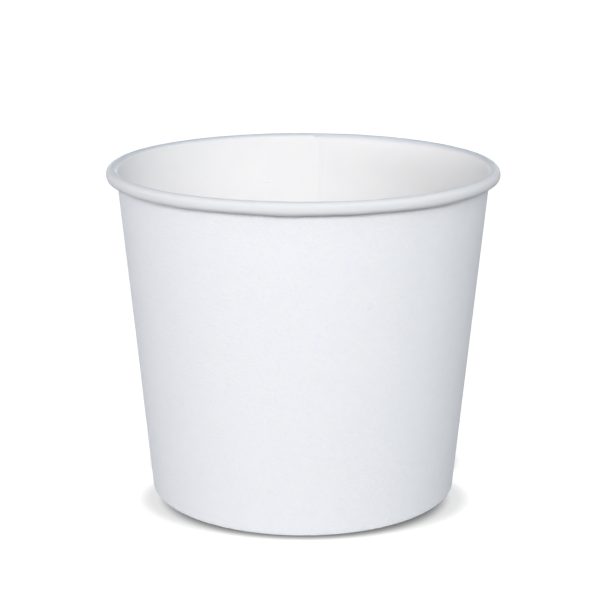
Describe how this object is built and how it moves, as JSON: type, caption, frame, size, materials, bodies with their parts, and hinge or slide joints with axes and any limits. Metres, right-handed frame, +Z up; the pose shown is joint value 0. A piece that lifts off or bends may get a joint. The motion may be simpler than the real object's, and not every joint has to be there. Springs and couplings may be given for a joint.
{
  "type": "paper bowl",
  "caption": "Deep round white paper bowl with a rolled rim, a tapered wall with a lap seam and a recessed floor, for soup, salad or ice cream.",
  "frame": {"origin": "centre of the bowl's foot ring, on the surface that the bowl stands on", "axes": "+Z up along the bowl's axis, +Y towards the back, where the lap seam is, +X to the right"},
  "size_m": [0.117, 0.117, 0.0995],
  "materials": {
    "wall_board": "white paperboard, matt and faintly fibrous outside, thin satin coating inside and on the rolled rim",
    "floor_board": "white paperboard, thin satin coating on the food side, matt underneath"
  },
  "bodies": {
    "root": {"side_wall": "wall_board", "bottom_disc": "floor_board"}
  },
  "joints": []
}
